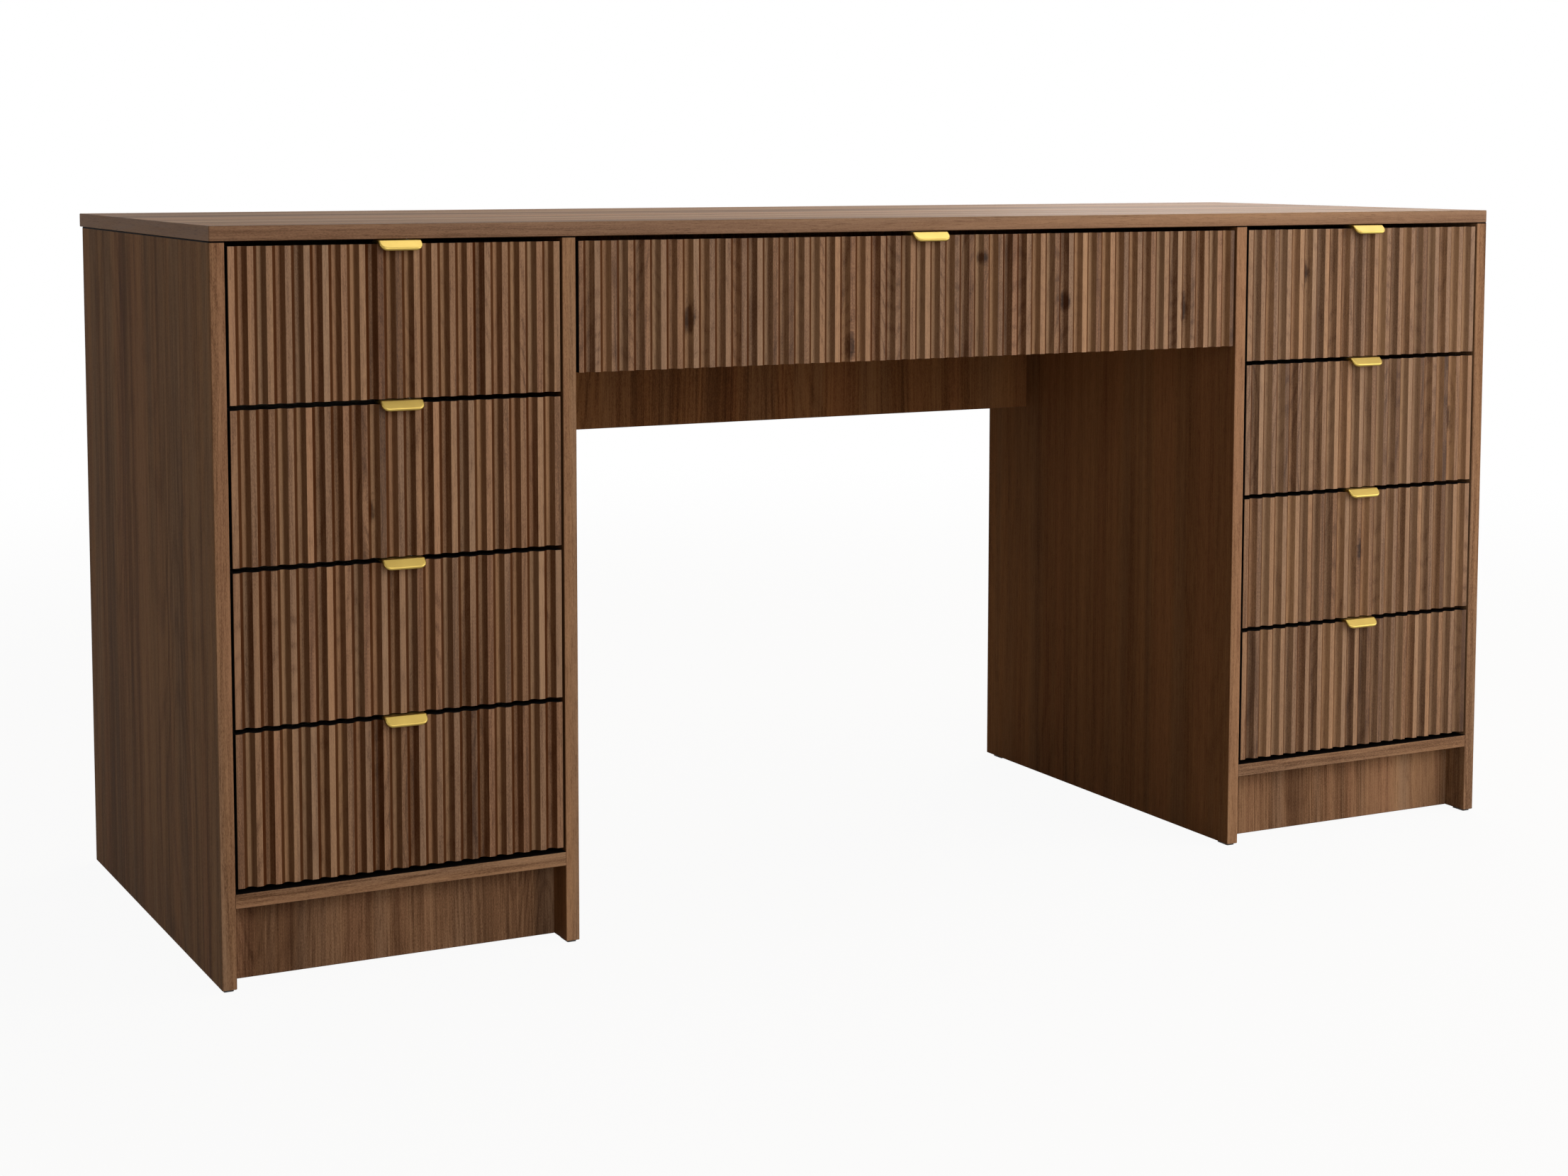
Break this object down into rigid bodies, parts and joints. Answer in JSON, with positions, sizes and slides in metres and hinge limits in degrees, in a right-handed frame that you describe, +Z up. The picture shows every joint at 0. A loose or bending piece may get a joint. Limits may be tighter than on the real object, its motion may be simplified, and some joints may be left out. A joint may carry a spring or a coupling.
{
  "type": "pedestal desk",
  "caption": "Walnut-finish pedestal desk with fluted drawer fronts, small brass edge pulls, a wide centre drawer over the kneehole and a modesty panel behind it.",
  "frame": {"origin": "centre of the desk's box, on the floor", "axes": "+X along the desk to the sitter's right, +Y from the sitter to the back, +Z up"},
  "size_m": [1.6, 0.5742, 0.756],
  "materials": {
    "walnut_board": "walnut-pattern melamine on board, satin, fine grain along each board",
    "walnut_front": "walnut-pattern foil on a routed board, satin, fine grain",
    "drawer_board": "pale grey melamine on board, matt",
    "hardboard": "thin hardboard with a printed walnut face, matt",
    "satin_brass": "satin brass plate, finely brushed, bright eased rim",
    "zinc_steel": "bright zinc plate",
    "glide_plastic": "moulded black plastic, matt",
    "beech": "turned beech, raw"
  },
  "bodies": {
    "carcass": {"desktop": "walnut_board", "left_outer_panel": "walnut_board", "left_inner_panel": "walnut_board", "right_inner_panel": "walnut_board", "right_outer_panel": "walnut_board", "left_bottom_board": "walnut_board", "right_bottom_board": "walnut_board", "left_plinth": "walnut_board", "right_plinth": "walnut_board", "left_rear_plinth": "walnut_board", "right_rear_plinth": "walnut_board", "left_back_panel": "hardboard", "right_back_panel": "hardboard", "modesty_panel": "walnut_board", "panel_glides": "glide_plastic", "left_cabinet_runners": "zinc_steel", "right_cabinet_runners": "zinc_steel", "centre_cabinet_runners": "zinc_steel", "runner_screws": "zinc_steel", "cam_locks": "zinc_steel", "cam_bolts": "zinc_steel", "wooden_dowels": "beech", "back_panel_screws": "zinc_steel"},
    "left_drawer_1": {"left_drawer_1_front": "walnut_front", "left_drawer_1_box": "drawer_board", "left_drawer_1_handle": "satin_brass", "left_drawer_1_hardware": "zinc_steel"},
    "left_drawer_2": {"left_drawer_2_front": "walnut_front", "left_drawer_2_box": "drawer_board", "left_drawer_2_handle": "satin_brass", "left_drawer_2_hardware": "zinc_steel"},
    "left_drawer_3": {"left_drawer_3_front": "walnut_front", "left_drawer_3_box": "drawer_board", "left_drawer_3_handle": "satin_brass", "left_drawer_3_hardware": "zinc_steel"},
    "left_drawer_4": {"left_drawer_4_front": "walnut_front", "left_drawer_4_box": "drawer_board", "left_drawer_4_handle": "satin_brass", "left_drawer_4_hardware": "zinc_steel"},
    "right_drawer_1": {"right_drawer_1_front": "walnut_front", "right_drawer_1_box": "drawer_board", "right_drawer_1_handle": "satin_brass", "right_drawer_1_hardware": "zinc_steel"},
    "right_drawer_2": {"right_drawer_2_front": "walnut_front", "right_drawer_2_box": "drawer_board", "right_drawer_2_handle": "satin_brass", "right_drawer_2_hardware": "zinc_steel"},
    "right_drawer_3": {"right_drawer_3_front": "walnut_front", "right_drawer_3_box": "drawer_board", "right_drawer_3_handle": "satin_brass", "right_drawer_3_hardware": "zinc_steel"},
    "right_drawer_4": {"right_drawer_4_front": "walnut_front", "right_drawer_4_box": "drawer_board", "right_drawer_4_handle": "satin_brass", "right_drawer_4_hardware": "zinc_steel"},
    "centre_drawer": {"centre_drawer_front": "walnut_front", "centre_drawer_box": "drawer_board", "centre_drawer_handle": "satin_brass", "centre_drawer_hardware": "zinc_steel"}
  },
  "joints": [
    {"name": "left_drawer_1_slide", "type": "slide", "parent": "carcass", "child": "left_drawer_1", "axis": [0, -1, 0], "range_m": [0, 0.325]},
    {"name": "left_drawer_2_slide", "type": "slide", "parent": "carcass", "child": "left_drawer_2", "axis": [0, -1, 0], "range_m": [0, 0.325]},
    {"name": "left_drawer_3_slide", "type": "slide", "parent": "carcass", "child": "left_drawer_3", "axis": [0, -1, 0], "range_m": [0, 0.325]},
    {"name": "left_drawer_4_slide", "type": "slide", "parent": "carcass", "child": "left_drawer_4", "axis": [0, -1, 0], "range_m": [0, 0.325]},
    {"name": "right_drawer_1_slide", "type": "slide", "parent": "carcass", "child": "right_drawer_1", "axis": [0, -1, 0], "range_m": [0, 0.325]},
    {"name": "right_drawer_2_slide", "type": "slide", "parent": "carcass", "child": "right_drawer_2", "axis": [0, -1, 0], "range_m": [0, 0.325]},
    {"name": "right_drawer_3_slide", "type": "slide", "parent": "carcass", "child": "right_drawer_3", "axis": [0, -1, 0], "range_m": [0, 0.325]},
    {"name": "right_drawer_4_slide", "type": "slide", "parent": "carcass", "child": "right_drawer_4", "axis": [0, -1, 0], "range_m": [0, 0.325]},
    {"name": "centre_drawer_slide", "type": "slide", "parent": "carcass", "child": "centre_drawer", "axis": [0, -1, 0], "range_m": [0, 0.275]}
  ]
}
